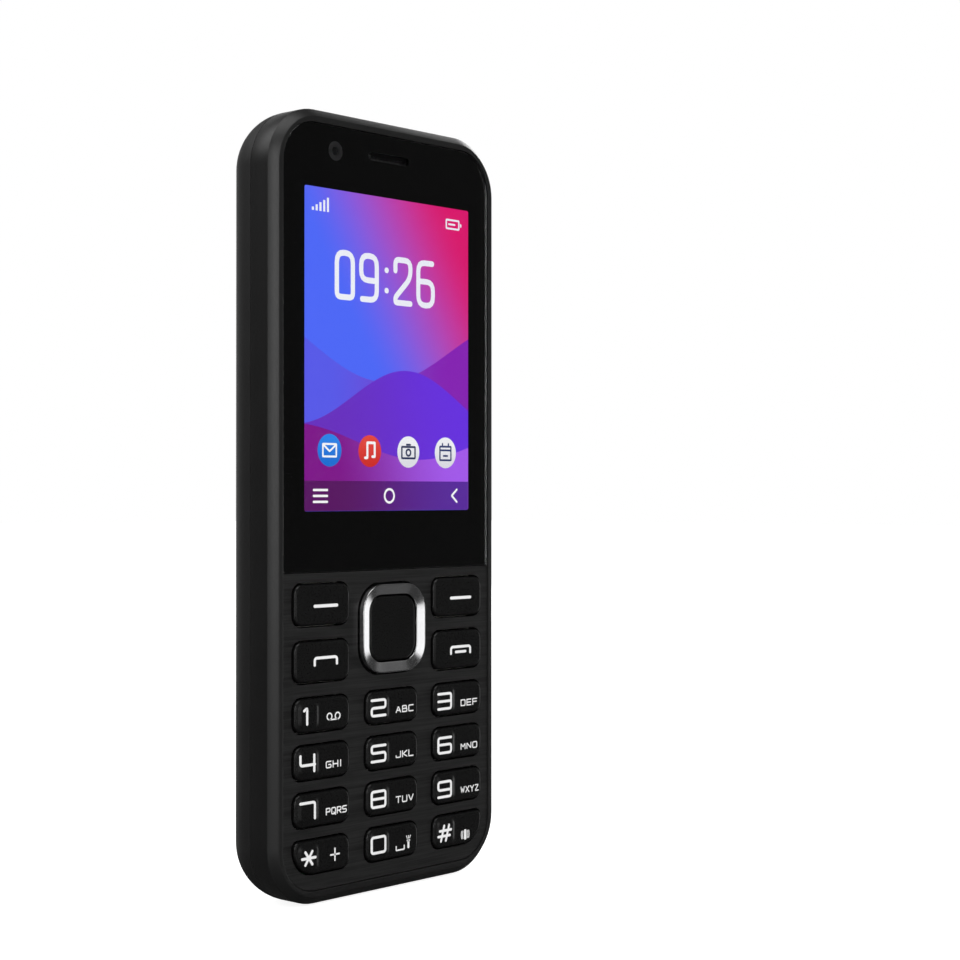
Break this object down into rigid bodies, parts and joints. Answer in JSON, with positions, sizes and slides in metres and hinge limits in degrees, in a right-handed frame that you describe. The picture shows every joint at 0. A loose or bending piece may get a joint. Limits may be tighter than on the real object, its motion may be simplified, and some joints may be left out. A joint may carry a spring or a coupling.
{
  "type": "mobile phone",
  "caption": "Bar mobile phone with a colour display, a number keypad with a square navigation ring, and a rounded lift-off back cover with a camera pill.",
  "frame": {"origin": "centre of the bottom end, on the plane that the upright phone stands on", "axes": "+Z along the length towards the earpiece, -Y out of the screen, +X to the right seen from the front"},
  "size_m": [0.0496, 0.0146, 0.1203],
  "materials": {
    "housing_black": "satin",
    "fascia_brushed": "fine brushed",
    "lens_clear": "gloss",
    "mesh_black": "matt",
    "display": "gloss",
    "tray_white": "matt",
    "flex_amber": "satin",
    "optics_black": "gloss",
    "receiver_grey": "satin",
    "key_black": "satin",
    "ring_silver": "satin silver",
    "silicone": "matt",
    "dome_film": "satin",
    "board_green": "satin",
    "steel": "satin",
    "connector_black": "matt",
    "chassis_black": "matt",
    "antenna_brass": "satin",
    "battery_case": "satin",
    "cover_charcoal": "fine pressed pattern",
    "bezel_black": "gloss",
    "window_black": "gloss",
    "flash_yellow": "gloss"
  },
  "bodies": {
    "phone": {"front_housing": "housing_black", "keypad_fascia": "fascia_brushed", "screen_lens": "lens_clear", "earpiece_mesh": "mesh_black", "display_panel": "display", "display_tray": "tray_white", "display_ribbon": "flex_amber", "front_camera": "optics_black", "rear_camera": "optics_black", "earpiece_receiver": "receiver_grey", "loudspeaker": "receiver_grey", "microphone": "receiver_grey", "keymat": "silicone", "dome_sheet": "dome_film", "main_board": "board_green", "shield_cans": "steel", "sim_sockets": "steel", "card_socket": "steel", "usb_socket": "steel", "chassis_screws": "steel", "vibration_motor": "steel", "battery_connector": "connector_black", "audio_jack": "connector_black", "rear_chassis": "chassis_black", "antenna": "antenna_brass", "battery": "battery_case", "camera_bezel": "bezel_black", "speaker_disc": "bezel_black", "camera_window": "window_black", "flash_led": "flash_yellow"},
    "soft_key_left": {"soft_key_left": "key_black"},
    "soft_key_right": {"soft_key_right": "key_black"},
    "call_key": {"call_key": "key_black"},
    "end_key": {"end_key": "key_black"},
    "key_1": {"key_1": "key_black"},
    "key_2": {"key_2": "key_black"},
    "key_3": {"key_3": "key_black"},
    "key_4": {"key_4": "key_black"},
    "key_5": {"key_5": "key_black"},
    "key_6": {"key_6": "key_black"},
    "key_7": {"key_7": "key_black"},
    "key_8": {"key_8": "key_black"},
    "key_9": {"key_9": "key_black"},
    "key_star": {"key_star": "key_black"},
    "key_0": {"key_0": "key_black"},
    "key_hash": {"key_hash": "key_black"},
    "ok_key": {"ok_key": "key_black"},
    "nav_rocker": {"nav_rocker": "silicone"},
    "nav_ring": {"nav_ring": "ring_silver"},
    "back_cover": {"back_cover": "cover_charcoal"},
    "motor_weight": {"motor_weight": "steel"}
  },
  "joints": [
    {"name": "soft_key_left_press", "type": "slide", "parent": "phone", "child": "soft_key_left", "axis": [0, 1, 0], "range_m": [0, 0.00035], "stiffness_N_per_m": 400},
    {"name": "soft_key_right_press", "type": "slide", "parent": "phone", "child": "soft_key_right", "axis": [0, 1, 0], "range_m": [0, 0.00035], "stiffness_N_per_m": 400},
    {"name": "call_key_press", "type": "slide", "parent": "phone", "child": "call_key", "axis": [0, 1, 0], "range_m": [0, 0.00035], "stiffness_N_per_m": 400},
    {"name": "end_key_press", "type": "slide", "parent": "phone", "child": "end_key", "axis": [0, 1, 0], "range_m": [0, 0.00035], "stiffness_N_per_m": 400},
    {"name": "key_1_press", "type": "slide", "parent": "phone", "child": "key_1", "axis": [0, 1, 0], "range_m": [0, 0.00035], "stiffness_N_per_m": 400},
    {"name": "key_2_press", "type": "slide", "parent": "phone", "child": "key_2", "axis": [0, 1, 0], "range_m": [0, 0.00035], "stiffness_N_per_m": 400},
    {"name": "key_3_press", "type": "slide", "parent": "phone", "child": "key_3", "axis": [0, 1, 0], "range_m": [0, 0.00035], "stiffness_N_per_m": 400},
    {"name": "key_4_press", "type": "slide", "parent": "phone", "child": "key_4", "axis": [0, 1, 0], "range_m": [0, 0.00035], "stiffness_N_per_m": 400},
    {"name": "key_5_press", "type": "slide", "parent": "phone", "child": "key_5", "axis": [0, 1, 0], "range_m": [0, 0.00035], "stiffness_N_per_m": 400},
    {"name": "key_6_press", "type": "slide", "parent": "phone", "child": "key_6", "axis": [0, 1, 0], "range_m": [0, 0.00035], "stiffness_N_per_m": 400},
    {"name": "key_7_press", "type": "slide", "parent": "phone", "child": "key_7", "axis": [0, 1, 0], "range_m": [0, 0.00035], "stiffness_N_per_m": 400},
    {"name": "key_8_press", "type": "slide", "parent": "phone", "child": "key_8", "axis": [0, 1, 0], "range_m": [0, 0.00035], "stiffness_N_per_m": 400},
    {"name": "key_9_press", "type": "slide", "parent": "phone", "child": "key_9", "axis": [0, 1, 0], "range_m": [0, 0.00035], "stiffness_N_per_m": 400},
    {"name": "key_star_press", "type": "slide", "parent": "phone", "child": "key_star", "axis": [0, 1, 0], "range_m": [0, 0.00035], "stiffness_N_per_m": 400},
    {"name": "key_0_press", "type": "slide", "parent": "phone", "child": "key_0", "axis": [0, 1, 0], "range_m": [0, 0.00035], "stiffness_N_per_m": 400},
    {"name": "key_hash_press", "type": "slide", "parent": "phone", "child": "key_hash", "axis": [0, 1, 0], "range_m": [0, 0.00035], "stiffness_N_per_m": 400},
    {"name": "ok_key_press", "type": "slide", "parent": "phone", "child": "ok_key", "axis": [0, 1, 0], "range_m": [0, 0.00035], "stiffness_N_per_m": 400},
    {"name": "ring_up_down", "type": "hinge", "parent": "phone", "child": "nav_rocker", "pos_m": [0, -0.0033, 0.04094], "axis": [1, 0, 0], "range_deg": [-1.5, 1.5], "stiffness_Nm_per_rad": 0.1},
    {"name": "ring_left_right", "type": "hinge", "parent": "nav_rocker", "child": "nav_ring", "pos_m": [0, -0.0033, 0.04094], "axis": [0, 0, 1], "range_deg": [-1.5, 1.5], "stiffness_Nm_per_rad": 0.1},
    {"name": "cover_lift", "type": "slide", "parent": "phone", "child": "back_cover", "axis": [0, 1, 0], "range_m": [0, 0.018]},
    {"name": "motor_spin", "type": "hinge", "parent": "phone", "child": "motor_weight", "pos_m": [-0.008, 0.00105, 0.021], "axis": [1, 0, 0], "continuous": true}
  ]
}
